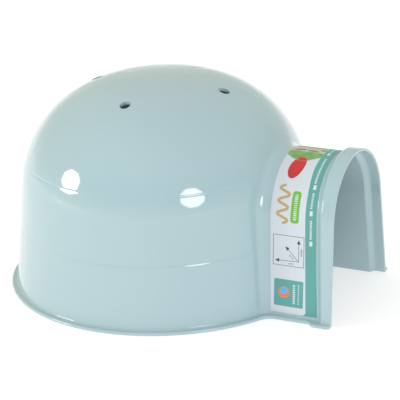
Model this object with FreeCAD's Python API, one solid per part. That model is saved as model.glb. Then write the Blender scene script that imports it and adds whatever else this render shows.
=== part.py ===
import FreeCAD, Part

import math
import os

# A small animal's igloo house: a moulded plastic dome with an arched entrance tunnel,
# standing on a turned-out rim and open underneath, and a printed label wrapped over
# the tunnel. Millimetres. +Z is up, the tunnel points along +X, and the origin is on
# the floor under the dome's axis.

# ---- driving dimensions -------------------------------------------------------------

WALL = 1.8                      # wall of the moulding
DRAFT_DEG = 6.6                 # lean of every upright wall, so that it leaves the mould

DOME_RADIUS = 96.5              # outside of the dome wall at the floor
DOME_WALL_HEIGHT = 67.0         # where the leaning wall turns into the shoulder
SHOULDER_RADIUS = 68.4          # outside arc from the wall to the crown
CROWN_RADIUS = 200.0            # outside arc over the top

TUNNEL_HALF_WIDTH = 42.2        # outside of the tunnel wall at the floor, from the axis
TUNNEL_HEIGHT = 91.7            # outside top of the tunnel
TUNNEL_REACH = 32.9             # the open end stands this far out from the dome's foot

COLLAR_STEP = 3.0               # how far the mouth collar stands out from the tunnel
COLLAR_WIDTH = 9.6              # from the start of the outside step to the open end
COLLAR_RUN = 1.4                # length of that step along the tunnel
COLLAR_INSIDE_DELAY = 0.3       # the step inside starts this much nearer the mouth
COLLAR_INSIDE_RUN = 3.2         # length of the softer step inside

CREASE_RADIUS = 8.0             # blend between the dome and the tunnel, outside

RIM_PROJECTION = 3.5            # how far the base rim stands out from the wall
RIM_THICKNESS = 2.1             # height of the base rim
RIM_EDGE_RADIUS = 0.9           # rounding of the rim's outer edges
RIM_CORNER_RADIUS = 8.0         # rim's inside corner between dome and tunnel
RIM_STEP_LEAD = 4.6             # the rim steps out this far before the collar does
RIM_STEP_RUN = 3.4              # length of the rim's own step
RIM_STEP_RADIUS = 3.0           # rounding of the rim's step
RIM_MOUTH_RADIUS = 2.4          # rim's corners at the mouth

FOOT_RADIUS = 1.2               # blend from the wall into the top of the rim
MOUTH_EDGE_RADIUS = 0.5         # rounding of the mouth's edges

COURSE_HEIGHT = 41.0            # one course of blocks, measured along the dome's skin
COURSE_COUNT = 4                # courses from the floor to the crown
BLOCKS_PER_COURSE = 8           # blocks round the dome in each course
GROOVE_WIDTH = 2.4              # shallow groove between blocks
GROOVE_DEPTH = 0.15
GROOVE_FOOT_GAP = 4.5           # the lowest upright grooves start this high up the wall

VENT_RADIUS = 3.4               # air holes in the crown
VENT_COUNT = 4

LABEL_THICKNESS = 0.15
LABEL_WIDTH = 31.7              # along the tunnel
LABEL_GAP_TO_COLLAR = 0.3       # bare strip between the label and the collar's step
LABEL_GAP_TO_FLOOR = 4.2        # the label stops this high above the floor

# ---- positions that follow from those sizes, measured from the dome's axis -------------

MOUTH_X = DOME_RADIUS + TUNNEL_REACH
COLLAR_X = MOUTH_X - COLLAR_WIDTH
LABEL_END_X = COLLAR_X - LABEL_GAP_TO_COLLAR
LABEL_START_X = LABEL_END_X - LABEL_WIDTH
# the finished parts are slid along X so that the origin is the middle of the footprint
SLIDE_X = -(TUNNEL_REACH - RIM_PROJECTION) / 2

# ---- lengths used only to build solids ----------------------------------------------

OVERLAP = 6.0                   # how far a cutting solid runs past what it cuts
TUNNEL_ROOT_X = DOME_RADIUS / 2   # the tunnel's solid starts here, inside the dome

DRAFT = math.radians(DRAFT_DEG)
Z_AXIS = FreeCAD.Vector(0, 0, 1)


def vec(x, y, z):
    return FreeCAD.Vector(x, y, z)


# ---- the dome's profile, offset outwards by any amount --------------------------------

def dome_arcs(offset):
    """Centres, radii and meeting angles of the dome's profile, in (radius, height)."""
    wall_top_r = DOME_RADIUS - DOME_WALL_HEIGHT * math.tan(DRAFT)
    shoulder_r = wall_top_r - SHOULDER_RADIUS * math.cos(DRAFT)
    shoulder_z = DOME_WALL_HEIGHT - SHOULDER_RADIUS * math.sin(DRAFT)
    reach = CROWN_RADIUS - SHOULDER_RADIUS
    crown_z = shoulder_z - math.sqrt(reach ** 2 - shoulder_r ** 2)
    meet = math.acos(shoulder_r / reach)
    return {
        "shoulder": (shoulder_r, shoulder_z, SHOULDER_RADIUS + offset),
        "crown": (0.0, crown_z, CROWN_RADIUS + offset),
        "meet": meet,
    }


def on_arc(arc, angle):
    centre_r, centre_z, radius = arc
    return (centre_r + radius * math.cos(angle), centre_z + radius * math.sin(angle))


def wall_radius(height, offset):
    """Radius of the dome's leaning wall at a height."""
    return DOME_RADIUS - height * math.tan(DRAFT) + offset / math.cos(DRAFT)


def skin_point(along, offset):
    """Point of the dome's profile, and its outward angle, at a distance along the skin."""
    arcs = dome_arcs(offset)
    wall_length = DOME_WALL_HEIGHT / math.cos(DRAFT)
    if along <= wall_length:
        height = along * math.cos(DRAFT)
        base = (DOME_RADIUS - height * math.tan(DRAFT), height)
        return (base[0] + offset * math.cos(DRAFT), base[1] + offset * math.sin(DRAFT)), DRAFT
    angle = DRAFT + (along - wall_length) / SHOULDER_RADIUS
    if angle <= arcs["meet"]:
        return on_arc(arcs["shoulder"], angle), angle
    shoulder_length = (arcs["meet"] - DRAFT) * SHOULDER_RADIUS
    angle = arcs["meet"] + (along - wall_length - shoulder_length) / CROWN_RADIUS
    return on_arc(arcs["crown"], angle), angle


def dome_solid(offset, bottom_z):
    """Solid of revolution under the dome's skin."""
    arcs = dome_arcs(offset)
    shoulder = arcs["shoulder"]
    crown = arcs["crown"]
    meet = arcs["meet"]
    wall_top = on_arc(shoulder, DRAFT)
    shoulder_mid = on_arc(shoulder, (DRAFT + meet) / 2)
    shoulder_top = on_arc(shoulder, meet)
    crown_mid = on_arc(crown, (meet + math.pi / 2) / 2)
    apex = on_arc(crown, math.pi / 2)

    foot = vec(wall_radius(bottom_z, offset), 0, bottom_z)
    corners = [vec(p[0], 0, p[1]) for p in (wall_top, shoulder_mid, shoulder_top, crown_mid)]
    top = vec(0, 0, apex[1])
    edges = [
        Part.makeLine(foot, corners[0]),
        Part.Arc(corners[0], corners[1], corners[2]).toShape(),
        Part.Arc(corners[2], corners[3], top).toShape(),
        Part.makeLine(top, vec(0, 0, bottom_z)),
        Part.makeLine(vec(0, 0, bottom_z), foot),
    ]
    solid = Part.Face(Part.Wire(edges)).revolve(vec(0, 0, 0), Z_AXIS, 360)
    # the seam of the revolved skin goes to the back, away from the tunnel
    solid.rotate(vec(0, 0, 0), Z_AXIS, 180)
    return solid


# ---- the tunnel's arched section, offset outwards by any amount -----------------------

def arch():
    """Radius and centre height of the arch that both leaning walls run into smoothly."""
    lean = TUNNEL_HALF_WIDTH - TUNNEL_HEIGHT * math.tan(DRAFT)
    radius = lean * math.cos(DRAFT) / (1 - math.sin(DRAFT))
    return radius, TUNNEL_HEIGHT - radius


def tunnel_half_width(height, offset):
    """Half the tunnel's width at a height."""
    radius, centre_z = arch()
    radius += offset
    if height > centre_z + radius * math.sin(DRAFT):
        return math.sqrt(max(radius ** 2 - (height - centre_z) ** 2, 0.0))
    return TUNNEL_HALF_WIDTH - height * math.tan(DRAFT) + offset / math.cos(DRAFT)


def arch_wire(x, offset, bottom_z):
    radius, centre_z = arch()
    radius += offset
    foot_y = tunnel_half_width(bottom_z, offset)
    spring_y = radius * math.cos(DRAFT)
    spring_z = centre_z + radius * math.sin(DRAFT)
    near_foot = vec(x, -foot_y, bottom_z)
    near_spring = vec(x, -spring_y, spring_z)
    far_spring = vec(x, spring_y, spring_z)
    far_foot = vec(x, foot_y, bottom_z)
    return Part.Wire([
        Part.makeLine(near_foot, near_spring),
        Part.Arc(near_spring, vec(x, 0, centre_z + radius), far_spring).toShape(),
        Part.makeLine(far_spring, far_foot),
        Part.makeLine(far_foot, near_foot),
    ])


def tunnel_solid(offset, bottom_z, step_x, step_run, end_x):
    """Arched bar from inside the dome to the mouth, with the collar's step in it."""
    step_end = step_x + step_run
    bar = Part.Face(arch_wire(TUNNEL_ROOT_X, offset, bottom_z)).extrude(vec(step_x - TUNNEL_ROOT_X, 0, 0))
    step = Part.makeLoft([
        arch_wire(step_x, offset, bottom_z),
        arch_wire(step_end, offset + COLLAR_STEP, bottom_z),
    ], True, True)
    collar_wire = arch_wire(step_end, offset + COLLAR_STEP, bottom_z)
    collar = Part.Face(collar_wire).extrude(vec(end_x - step_end, 0, 0))
    return bar.fuse([step, collar]).removeSplitter()


# ---- dome and tunnel joined, offset outwards by any amount ----------------------------

def crease_edges(shape, bottom_z):
    """Edges where the tunnel's walls and roof leave the dome."""
    found = []
    for edge in shape.Edges:
        box = edge.BoundBox
        upright = box.ZMax > bottom_z + 1
        short = box.XMin > TUNNEL_ROOT_X + 10 and box.XMax < DOME_RADIUS
        off_axis_plane = box.YMax - box.YMin > 0.5
        if upright and short and off_axis_plane:
            found.append(edge)
    return found


def body(offset, bottom_z, step_x, step_run, end_x):
    """Dome and tunnel as one solid, with the crease between them blended."""
    joined = dome_solid(offset, bottom_z)
    joined = joined.fuse(tunnel_solid(offset, bottom_z, step_x, step_run, end_x))
    joined = joined.removeSplitter()
    return joined.makeFillet(CREASE_RADIUS - offset, crease_edges(joined, bottom_z)).Solids[0]



def outer_body(offset):
    return body(offset, 0.0, COLLAR_X, COLLAR_RUN, MOUTH_X)


def inner_body():
    step_x = COLLAR_X + COLLAR_INSIDE_DELAY
    return body(-WALL, -OVERLAP, step_x, COLLAR_INSIDE_RUN, MOUTH_X + OVERLAP)


# ---- base rim ------------------------------------------------------------------------

def rim_plate():
    """Flat plate with the rim's outline, rounded at its corners and edges."""
    half = TUNNEL_HALF_WIDTH + RIM_PROJECTION
    wide = half + COLLAR_STEP
    step_x = COLLAR_X - RIM_STEP_LEAD
    side = [(0, half), (step_x, half), (step_x + RIM_STEP_RUN, wide), (MOUTH_X, wide)]
    outline = [vec(x, -y, 0) for x, y in side]
    outline += [vec(x, y, 0) for x, y in reversed(side)]
    outline.append(outline[0])
    spout = Part.Face(Part.makePolygon(outline)).extrude(vec(0, 0, RIM_THICKNESS))
    disk = Part.makeCylinder(DOME_RADIUS + RIM_PROJECTION, RIM_THICKNESS)
    disk.rotate(vec(0, 0, 0), Z_AXIS, 180)
    plate = disk.fuse(spout).removeSplitter().Solids[0]

    def corners(low_x, high_x):
        found = []
        for edge in plate.Edges:
            box = edge.BoundBox
            upright = box.ZMax - box.ZMin > RIM_THICKNESS / 2
            if upright and low_x < box.XMin < high_x:
                found.append(edge)
        return found

    plate = plate.makeFillet(RIM_CORNER_RADIUS, corners(0, step_x - 1))
    plate = plate.makeFillet(RIM_STEP_RADIUS, corners(step_x - 1, step_x + RIM_STEP_RUN + 1))
    plate = plate.makeFillet(RIM_MOUTH_RADIUS, corners(MOUTH_X - 1, MOUTH_X + 1))
    level = [e for e in plate.Edges if e.BoundBox.ZMax - e.BoundBox.ZMin < 0.01]
    return plate.makeFillet(RIM_EDGE_RADIUS, level)


# ---- shallow grooves that draw the blocks ----------------------------------------------

def groove_face(point, angle):
    """Round cutter standing just off the skin at a point, in the plane of its profile."""
    radius = (GROOVE_WIDTH ** 2 / 4 + GROOVE_DEPTH ** 2) / (2 * GROOVE_DEPTH)
    stand = radius - GROOVE_DEPTH
    centre = vec(point[0] + stand * math.cos(angle), 0, point[1] + stand * math.sin(angle))
    return centre, radius


def stop_angle(height):
    """Angle from the tunnel's axis at which a groove at this height clears the crease."""
    if height > TUNNEL_HEIGHT + CREASE_RADIUS:
        return 0.0
    half = tunnel_half_width(height, CREASE_RADIUS)
    return math.asin(min(half / wall_radius(height, 0.0), 1.0))


def course_groove(along):
    """Level groove round the dome, open where the tunnel is."""
    point, angle = skin_point(along, 0.0)
    centre, radius = groove_face(point, angle)
    circle = Part.makeCircle(radius, centre, vec(0, 1, 0))
    face = Part.Face(Part.Wire([circle]))
    stop = math.degrees(stop_angle(point[1]))
    face.rotate(vec(0, 0, 0), Z_AXIS, stop)
    return face.revolve(vec(0, 0, 0), Z_AXIS, 360 - 2 * stop)


def upright_groove(start, end, turn_deg):
    """Groove up the skin between two distances along it, turned round the dome."""
    wall_length = DOME_WALL_HEIGHT / math.cos(DRAFT)
    arcs = dome_arcs(0.0)
    shoulder_end = wall_length + (arcs["meet"] - DRAFT) * SHOULDER_RADIUS
    pieces = []
    spans = [(0.0, wall_length, None), (wall_length, shoulder_end, arcs["shoulder"]),
             (shoulder_end, end + 1, arcs["crown"])]
    for low, high, arc in spans:
        first = max(start, low)
        last = min(end, high)
        if last - first < 0.01:
            continue
        point, angle = skin_point(first, 0.0)
        centre, radius = groove_face(point, angle)
        uphill = vec(-math.sin(angle), 0, math.cos(angle))
        circle = Part.makeCircle(radius, centre, uphill)
        face = Part.Face(Part.Wire([circle]))
        if arc is None:
            pieces.append(face.extrude(uphill * (last - first)))
        else:
            sweep = math.degrees(skin_point(last, 0.0)[1] - angle)
            pieces.append(face.revolve(vec(arc[0], 0, arc[1]), vec(0, -1, 0), sweep))
    for piece in pieces:
        piece.rotate(vec(0, 0, 0), Z_AXIS, turn_deg)
    return pieces


def grooves():
    cutters = [course_groove(COURSE_HEIGHT * (i + 1)) for i in range(COURSE_COUNT)]
    pitch = 360.0 / BLOCKS_PER_COURSE
    for course in range(COURSE_COUNT):
        start = COURSE_HEIGHT * course
        end = start + COURSE_HEIGHT
        # alternate courses break joint by half a block
        shift = pitch / 2 if course % 2 else 0.0
        clear = math.degrees(stop_angle(skin_point(start, 0.0)[0][1]))
        low = max(start, GROOVE_FOOT_GAP)
        for block in range(BLOCKS_PER_COURSE):
            turn = shift + pitch * block
            from_axis = min(turn, 360.0 - turn)
            if from_axis > clear + 1:
                cutters += upright_groove(low, end, turn)
    return cutters


# ---- air holes, in the middle of every other block of the top course --------------------

def vents():
    ring_radius = skin_point(COURSE_HEIGHT * (COURSE_COUNT - 0.5), 0.0)[0][0]
    height = dome_arcs(0.0)["crown"][1] + CROWN_RADIUS
    pitch = 2 * math.pi / VENT_COUNT
    drills = []
    for i in range(VENT_COUNT):
        x = ring_radius * math.cos(pitch * i)
        y = ring_radius * math.sin(pitch * i)
        drills.append(Part.makeCylinder(VENT_RADIUS, height, vec(x, y, height / 2)))
    return drills


# ---- the moulding ------------------------------------------------------------------------

def foot_edges(shape, outside):
    """Where the wall meets the top of the rim, from the dome round to the collar."""
    found = []
    for edge in shape.Edges:
        box = edge.BoundBox
        level = abs(box.ZMin - RIM_THICKNESS) < 0.01 and abs(box.ZMax - RIM_THICKNESS) < 0.01
        if not level or box.XMax > COLLAR_X + 0.01:
            continue
        middle = edge.valueAt((edge.FirstParameter + edge.LastParameter) / 2)
        if Part.Vertex(middle).distToShape(outside)[0] < 0.01:
            found.append(edge)
    return found


def mouth_edges(shape):
    """Inner and outer edges of the tunnel's open end."""
    found = []
    for edge in shape.Edges:
        box = edge.BoundBox
        if box.XMin > MOUTH_X - 0.01 and box.ZMax > TUNNEL_HEIGHT / 2:
            found.append(edge)
    return found


def igloo_shell():
    outside = outer_body(0.0)
    shell = outside.fuse(rim_plate()).removeSplitter().Solids[0]
    shell = shell.makeFillet(FOOT_RADIUS, foot_edges(shell, outside))
    shell = shell.cut(inner_body()).Solids[0]
    shell = shell.makeFillet(MOUTH_EDGE_RADIUS, mouth_edges(shell))
    shell = shell.cut(vents()).Solids[0]
    # one at a time, as the level and upright grooves run into each other
    for cutter in grooves():
        shell = shell.cut(cutter).Solids[0]
    return shell


# ---- the printed label ---------------------------------------------------------------------

def wrap_label():
    """Thin skin lying on the tunnel between the dome and the collar."""
    span = 2 * (TUNNEL_HALF_WIDTH + CREASE_RADIUS)
    corner = vec(LABEL_START_X, -span / 2, LABEL_GAP_TO_FLOOR)
    zone = Part.makeBox(LABEL_WIDTH, span, TUNNEL_HEIGHT + CREASE_RADIUS, corner)
    skin = outer_body(LABEL_THICKNESS).cut(outer_body(0.0))
    return skin.common(zone).Solids[0]


# ---- output --------------------------------------------------------------------------------

os.makedirs("parts", exist_ok=True)
for name, shape in (("igloo_shell", igloo_shell()), ("wrap_label", wrap_label())):
    shape.translate(vec(SLIDE_X, 0, 0))
    shape.exportStep("parts/" + name + ".step")
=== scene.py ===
# %% [markdown]
# # A small pet's igloo house, and how its looks are built
#
# The house is one thin plastic moulding: a dome of faintly drawn blocks, an arched
# entrance tunnel with a stepped-out collar, and a turned-out rim that it stands on.
# A printed label is wrapped over the tunnel. This lesson rebuilds the moulding as a
# smooth mesh inside the CAD part's box, prints the label with geometry, then sets up
# a pale studio.

# %% Load the CAD part
import math

import bmesh
import bpy
import numpy as np
from mathutils import Matrix, Vector


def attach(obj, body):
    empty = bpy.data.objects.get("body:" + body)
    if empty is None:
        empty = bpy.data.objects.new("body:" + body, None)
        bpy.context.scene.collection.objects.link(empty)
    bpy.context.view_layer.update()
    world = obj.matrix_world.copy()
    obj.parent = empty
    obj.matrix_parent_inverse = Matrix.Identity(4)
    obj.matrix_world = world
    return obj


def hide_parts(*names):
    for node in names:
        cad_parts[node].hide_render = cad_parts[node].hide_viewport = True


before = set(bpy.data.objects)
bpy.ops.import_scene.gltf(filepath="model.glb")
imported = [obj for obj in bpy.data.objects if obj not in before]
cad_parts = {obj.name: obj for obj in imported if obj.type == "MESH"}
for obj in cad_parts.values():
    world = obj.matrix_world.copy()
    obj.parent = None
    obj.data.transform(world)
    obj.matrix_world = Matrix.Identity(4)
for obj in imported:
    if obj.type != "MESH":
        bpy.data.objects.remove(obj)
bpy.context.view_layer.update()
print("CAD nodes:", sorted(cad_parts))

# %% [markdown]
# ## Sizes
#
# Everything is worked out in millimetres from the dome's axis and turned into metres,
# with the footprint's middle at the origin, when a mesh is made. The values repeat the
# CAD part's, save for two: the collar's rise is longer and softer, and the rim turns
# out a hair less, so that the looks stay in the part's box. Writing them once here
# lets every later step share them.

# %% Sizes of the moulding
MM = 0.001
WALL = 1.8
LEAN = math.radians(6.6)
DOME_R, WALL_TOP, SHOULDER_R, CROWN_R = 96.5, 67.0, 68.4, 200.0
TUNNEL_HALF, TUNNEL_TOP, MOUTH = 42.2, 91.7, 129.4
COLLAR_STEP, COLLAR_X, COLLAR_RISE = 3.0, 119.8, 4.6
CREASE_R = 8.0
RIM_OUT, RIM_THICK, RIM_EDGE, RIM_TIP = 3.47, 2.1, 0.9, 2.4
FOOT_R, HEM_R, LIP_R = 1.2, 0.9, 0.5
COURSE, COURSES = 41.0, 4
BLOCK = math.radians(45)
VENT_R, VENTS = 3.4, 4
AXIS_X = -14.7
print("rim across:", 2 * (DOME_R + RIM_OUT), "doorway across, outside:", 2 * TUNNEL_HALF)

# %% [markdown]
# ## Sizes that follow from others
#
# The shoulder arc has to run on from the leaning wall, the crown arc from the
# shoulder, and the tunnel's arch from its walls. Their centres could be tried by eye
# until the joins look smooth; a little geometry gives them exactly.

# %% Centres of the arcs
SHOULDER = (DOME_R - WALL_TOP * math.tan(LEAN) - SHOULDER_R * math.cos(LEAN),
            WALL_TOP - SHOULDER_R * math.sin(LEAN))
REACH = CROWN_R - SHOULDER_R
CROWN_Z = SHOULDER[1] - math.sqrt(REACH ** 2 - SHOULDER[0] ** 2)
MEET = math.acos(SHOULDER[0] / REACH)
ARCH_R = (TUNNEL_HALF - TUNNEL_TOP * math.tan(LEAN)) * math.cos(LEAN) / (1 - math.sin(LEAN))
ARCH_Z = TUNNEL_TOP - ARCH_R
WALL_ALONG = WALL_TOP / math.cos(LEAN)
SHOULDER_ALONG = (MEET - LEAN) * SHOULDER_R
ARCH_FOOT = (ARCH_Z + ARCH_R * math.sin(LEAN)) / math.cos(LEAN)
print("dome top", round(CROWN_Z + CROWN_R, 2), "arch radius", round(ARCH_R, 2))


# %% [markdown]
# ## The dome's profile
#
# The dome is a leaning wall, a shoulder arc and a flatter crown arc, each running
# smoothly into the next. It could be spun from a drawn curve, but a function can also
# be offset, so the same one gives the outside of the moulding and its inside.

# %% Profile of the dome
def profile(along, out):
    """Radius, height and slope angle of the dome at a distance along its outer skin."""
    along = np.asarray(along, float)
    straight = np.minimum(along, WALL_ALONG)
    height = straight * math.cos(LEAN)
    radius = DOME_R - height * math.tan(LEAN)
    angle = np.full(along.shape, LEAN)
    bent = along > WALL_ALONG
    turn = LEAN + (along - WALL_ALONG) / SHOULDER_R
    top = MEET + (along - WALL_ALONG - SHOULDER_ALONG) / CROWN_R
    on_top = turn > MEET
    radius = np.where(bent, SHOULDER[0] + SHOULDER_R * np.cos(turn), radius)
    height = np.where(bent, SHOULDER[1] + SHOULDER_R * np.sin(turn), height)
    radius = np.where(on_top, CROWN_R * np.cos(top), radius)
    height = np.where(on_top, CROWN_Z + CROWN_R * np.sin(top), height)
    angle = np.where(on_top, top, np.where(bent, turn, angle))
    return radius + out * np.cos(angle), height + out * np.sin(angle), angle


def dome_at(height, out):
    """Radius and slope of the dome, offset outwards, where it reaches a height."""
    turn = np.arcsin(np.clip((height - SHOULDER[1]) / (SHOULDER_R + out), -1, 1))
    turn = np.maximum(turn, LEAN)
    wall = DOME_R + out / math.cos(LEAN) - height * math.tan(LEAN)
    round_part = SHOULDER[0] + (SHOULDER_R + out) * np.cos(turn)
    return np.where(turn > LEAN, round_part, wall), turn


print("radius at the top of the wall:", round(float(profile(WALL_ALONG, 0)[0]), 2))


# %% [markdown]
# ## The tunnel's section
#
# The tunnel is an arch on two leaning walls. Its collar is the same section a few
# millimetres larger, reached by a soft S-shaped rise that starts a little nearer the
# dome high on the arch than near the floor. A smooth step makes such a rise without
# a kink at either end.

# %% Section of the tunnel and foot of the collar
def section_at(height, out):
    """Half width and slope of the tunnel, offset outwards, where it reaches a height."""
    turn = np.arcsin(np.clip((height - ARCH_Z) / (ARCH_R + out), -1, 1))
    turn = np.maximum(turn, LEAN)
    wall = TUNNEL_HALF + out / math.cos(LEAN) - height * math.tan(LEAN)
    return np.where(turn > LEAN, (ARCH_R + out) * np.cos(turn), wall), turn


def smooth(x, low, high):
    t = np.clip((x - low) / (high - low), 0, 1)
    return t * t * (3 - 2 * t)


CLIMB = [4, 34, 59, 80, 93]  # distances up the section at which edges are given


def collar_foot(s):
    """Where the collar starts to rise, at a distance `s` up the tunnel's section."""
    return np.interp(s, CLIMB, [119.6, 118.3, 117.9, 117.2, 117.0])


print("collar starts at", float(collar_foot(4)), "near the floor and", float(collar_foot(93)), "high up")


# %% [markdown]
# ## Rows that follow the crease
#
# The real moulding has a rolled crease where the dome meets the tunnel. A Boolean and
# a Bevel would make it, with untidy shading. Instead, a ball rolling in the corner
# touches both sides, and each of its stations gives one row of the mesh: along the
# tunnel, round the ball, and round the dome at the height where the ball touches it.
# Rows crowd together at the level grooves that separate the courses of blocks.

# %% Stations of the rolling ball
ball = set(np.linspace(RIM_THICK + FOOT_R + CREASE_R * math.sin(LEAN) - FOOT_R * math.sin(LEAN),
                       ARCH_Z + (ARCH_R + CREASE_R) * math.sin(LEAN), 24).tolist())
for turn in np.linspace(LEAN, math.pi / 2, 29):
    ball.add(float(ARCH_Z + (ARCH_R + CREASE_R) * math.sin(turn)))
for along in (COURSE, 2 * COURSE):
    for step in (-1.6, -1.2, -0.9, -0.6, -0.3, 0, 0.3, 0.6, 0.9, 1.2, 1.6, 2.4, -2.4):
        r, z, a = profile(along + step, 0)
        ball.add(float(z + CREASE_R * math.sin(a)))
ball = sorted(ball)
BALL_Z = [ball[0]]
for z in ball[1:]:
    if z - BALL_Z[-1] > 0.02 or z > ball[-1] - 1e-6:
        BALL_Z.append(z)
BALL_Z = np.array(BALL_Z)
BALL_Y, SECTION_TURN = section_at(BALL_Z, CREASE_R)
BALL_Y[-1], SECTION_TURN[-1] = 0.0, math.pi / 2
ball_r, DOME_TURN = dome_at(BALL_Z, CREASE_R)
BALL_X = np.sqrt(ball_r ** 2 - BALL_Y ** 2)
BALL_AZ = np.arctan2(BALL_Y, BALL_X)
ROWS = len(BALL_Z)
print("rows up to the tunnel's top:", ROWS)

# %% [markdown]
# ## Columns from the mouth to the back
#
# Across the rows run the columns: along the tunnel, close together on the collar's
# rise, then round the crease and round half the dome, close together at the upright
# joints of the blocks. Even spacing would need far more points for the same detail.

# %% Columns along the tunnel, the crease and the dome
TUNNEL_XS = np.concatenate([[MOUTH - LIP_R, 128.2, 127.3, 126.2, 125.0, 123.9],
                            np.arange(123.2, 116.7, -0.42), [116.0, 115.1, 114.2]])
TUNNEL_MORE = 8
CREASE_STEPS = 9
NEAR_COLS = 36
far = []
for joint in range(2, 9):
    middle = joint * BLOCK / 2
    for step in (-1.6, -1.1, -0.75, -0.35, 0, 0.35, 0.75, 1.1, 1.6):
        far.append(middle + math.radians(step))
    if joint < 8:
        far += [middle + math.radians(1.6 + (22.5 - 3.2) * k / 7) for k in range(1, 7)]
FAR_AZ = np.array([a for a in sorted(far) if BLOCK - 1e-9 <= a <= math.pi + 1e-9])


def dome_columns(azimuth0):
    near = azimuth0 + (BLOCK - azimuth0) * np.arange(NEAR_COLS) / NEAR_COLS
    return np.concatenate([near, FAR_AZ])


def tunnel_columns(last):
    """Stations along the tunnel, from the mouth to where the crease takes over."""
    more = TUNNEL_XS[-1] + (last - TUNNEL_XS[-1]) * np.arange(1, TUNNEL_MORE + 1) / TUNNEL_MORE
    return np.concatenate([TUNNEL_XS, more])


print("columns round half the dome:", len(dome_columns(0.0)))


# %% [markdown]
# ## Grooves between the blocks
#
# They are very shallow on the real moulding: a narrow line with a soft shoulder each
# side, enough to break up a reflection. A bump texture could draw them, but real
# depth also bends highlights in the exported model. Odd courses have their upright
# joints half a block off even ones.

# %% Groove depth at a place on the dome
LINE_DEPTHS = (0.15, 0.085, 0.085, 0.04)
LINE_HALF, SHOULDER_DEPTH, SHOULDER_FADE = 0.85, 0.05, 2.2
UPRIGHT_DEPTH, UPRIGHT_HALF = 0.11, 1.9


def groove_depth(along, azimuth, radius):
    level = np.zeros(np.shape(along))
    for k, depth in enumerate(LINE_DEPTHS, start=1):
        away = np.abs(along - k * COURSE)
        line = depth * np.clip(1 - (away / LINE_HALF) ** 2, 0, 1)
        level = np.maximum(level, line + SHOULDER_DEPTH * np.exp(-away / SHOULDER_FADE))
    course = np.clip(np.floor(along / COURSE), 0, COURSES - 1)
    shift = np.where(course % 2 == 1, BLOCK / 2, 0.0)
    turned = (azimuth - shift) / BLOCK
    away = np.abs(turned - np.round(turned)) * BLOCK * radius
    upright = UPRIGHT_DEPTH * np.exp(-(away / UPRIGHT_HALF) ** 2)
    upright = upright * smooth(along, 4.0, 9.0) * (along < COURSES * COURSE)
    return np.maximum(level, upright)


print("deepest groove:", round(float(groove_depth(np.array([COURSE]), np.zeros(1), DOME_R)[0]), 3), "mm")


# %% [markdown]
# ## The tunnel's stretch of a row
#
# Each row starts at the tunnel's mouth, where the collar stands out, and runs back
# along the tunnel. The collar could be a second solid joined on; moving the row's
# points outwards keeps the moulding one skin. The inside steps out a little later.

# %% Along the tunnel
def along_from_turn(turn, height, out):
    bent = WALL_ALONG + (turn - LEAN) * SHOULDER_R
    flat = (height - out * math.sin(LEAN)) / math.cos(LEAN)
    return np.where(turn > LEAN + 1e-9, bent, flat)


def collar_step(xs, row, height, out):
    """How far the collar stands out at each of a row's stations."""
    if out < 0:
        return COLLAR_STEP * smooth(xs, COLLAR_X + 0.1, COLLAR_X + 3.7)
    climbed = max(height, 0) / math.cos(LEAN)
    if SECTION_TURN[row] > LEAN + 1e-9:
        climbed = ARCH_FOOT + (SECTION_TURN[row] - LEAN) * ARCH_R
    foot_x = float(collar_foot(climbed))
    return COLLAR_STEP * smooth(xs, foot_x, foot_x + COLLAR_RISE)


def tunnel_part(row, out, section, on_tunnel):
    xs = tunnel_columns(on_tunnel[0])
    step = collar_step(xs, row, on_tunnel[2], out)
    tunnel = on_tunnel + step[:, None] * section
    tunnel[:, 0] = xs
    if row == 0:
        half, _ = section_at(on_tunnel[2], out)
        tunnel[:, 1] = half + step / math.cos(LEAN)
        tunnel[:, 2] = on_tunnel[2]
    return tunnel


print("collar at the mouth stands out", float(collar_step(np.array([MOUTH]), 0, 0.0, 0.0)[0]), "mm")


# %% [markdown]
# ## One row of the outside or the inside
#
# From the tunnel a row passes round the crease and ends at the back of the dome. The
# same function makes the outside and, with a negative offset of one wall, the inside.
# A Solidify modifier would do that too, but here the wall comes out even everywhere.

# %% Build one row
def skin_row(row, out, engraved):
    """Points of one row, from the mouth to the back, for y above zero."""
    reach = CREASE_R - out
    section = np.array([0, math.cos(SECTION_TURN[row]), math.sin(SECTION_TURN[row])])
    az, turn = BALL_AZ[row], DOME_TURN[row]
    radial = np.array([math.cos(az) * math.cos(turn), math.sin(az) * math.cos(turn), math.sin(turn)])
    centre = np.array([BALL_X[row], BALL_Y[row], BALL_Z[row]])
    on_tunnel = centre - reach * section
    tunnel = tunnel_part(row, out, section, on_tunnel)
    between = math.acos(max(-1, min(1, float(section @ radial))))
    turns = between * np.arange(1, CREASE_STEPS) / CREASE_STEPS
    mixed = np.sin(between - turns)[:, None] * section + np.sin(turns)[:, None] * radial
    crease = centre - reach * mixed / math.sin(between)
    if row == 0:
        crease[:, 2] = on_tunnel[2]
    azimuths = dome_columns(az)
    radius = math.hypot(BALL_X[row], BALL_Y[row]) - reach * math.cos(turn)
    height = BALL_Z[row] - reach * math.sin(turn)
    depth = np.zeros(len(azimuths))
    if engraved:
        along = along_from_turn(turn, height, out)
        depth = groove_depth(np.full(len(azimuths), along), azimuths, radius)
        depth = depth * smooth(azimuths, az, az + math.radians(3))
    r = radius - depth * math.cos(turn)
    dome = np.stack([r * np.cos(azimuths), r * np.sin(azimuths), height - depth * math.sin(turn)], 1)
    return np.concatenate([tunnel, crease, dome])


print("points in a row:", len(skin_row(0, 0.0, False)))


# %% [markdown]
# ## The rim in plan
#
# The rim is a flange that turns out all round the foot, with rounded edges, so that
# the house stands steady and its edge isn't sharp. Its outer edge is drawn in plan
# with one point for each point of the wall, which lets the two be joined by plain
# rows of faces.

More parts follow.
